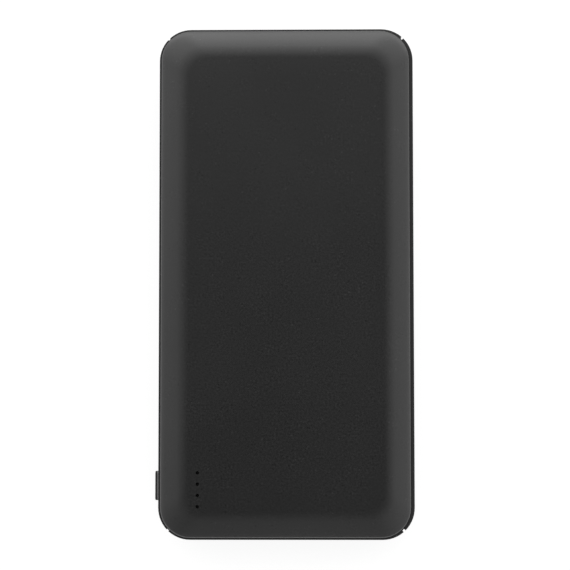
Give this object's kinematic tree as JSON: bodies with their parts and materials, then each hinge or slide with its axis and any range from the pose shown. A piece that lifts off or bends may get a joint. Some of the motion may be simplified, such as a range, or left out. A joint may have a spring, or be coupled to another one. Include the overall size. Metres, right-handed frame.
{
  "type": "power bank",
  "caption": "Slim flat power bank with pillow-shaped soft-touch covers round a notched band, a side button, indicator holes and charging ports in one short end.",
  "frame": {"origin": "centre of the flat back face, on which the power bank lies", "axes": "+Z out of the front face with the indicator holes, +Y along the length away from the ports, +X to the side without the button"},
  "size_m": [0.071, 0.1404, 0.015],
  "materials": {
    "soft_touch_black": "soft-touch rubberised paint with a very fine grain",
    "band_black": "moulded, fine matt",
    "button_black": "moulded, satin",
    "port_black": "moulded nylon, matt",
    "shell_steel": "nickel plated sheet",
    "contact_gold": "gold flashed",
    "light_guide_smoke": "smoked translucent",
    "foam_grey": "closed-cell foam",
    "led_white": "moulded lens",
    "board_green": "solder resist",
    "screw_steel": "zinc plated",
    "chip_black": "moulded epoxy",
    "ferrite_grey": "sintered ferrite",
    "can_aluminium": "drawn can",
    "capacitor_tan": "sintered ceramic",
    "cell_foil": "laminated pouch foil",
    "tape_white": "double-sided tape",
    "tab_nickel": "nickel strip",
    "lead_red": "soft insulation",
    "lead_black": "soft insulation"
  },
  "bodies": {
    "housing": {"front_cover": "soft_touch_black", "rear_cover": "soft_touch_black", "mid_frame": "band_black", "switch_body": "shell_steel", "light_guide": "light_guide_smoke", "light_shield": "foam_grey", "indicator_leds": "led_white", "circuit_board": "board_green", "board_screws": "screw_steel", "usb_a_shell": "shell_steel", "usb_a_insulator": "port_black", "usb_a_contacts": "contact_gold", "micro_usb_shell": "shell_steel", "micro_usb_insulator": "port_black", "micro_usb_contacts": "contact_gold", "control_chip": "chip_black", "power_transistors": "chip_black", "power_inductor": "ferrite_grey", "bulk_capacitors": "can_aluminium", "chip_capacitors": "capacitor_tan", "battery_cell_rear": "cell_foil", "battery_cell_front": "cell_foil", "cell_tape": "tape_white", "foam_pad_rear": "foam_grey", "foam_pad_front": "foam_grey", "cell_tabs": "tab_nickel", "protection_board": "board_green", "lead_positive": "lead_red", "lead_negative": "lead_black"},
    "button": {"power_button": "button_black", "switch_plunger": "port_black"}
  },
  "joints": [
    {"name": "button_press", "type": "slide", "parent": "housing", "child": "button", "axis": [1, 0, 0], "range_m": [0, 0.0004], "stiffness_N_per_m": 4000}
  ]
}
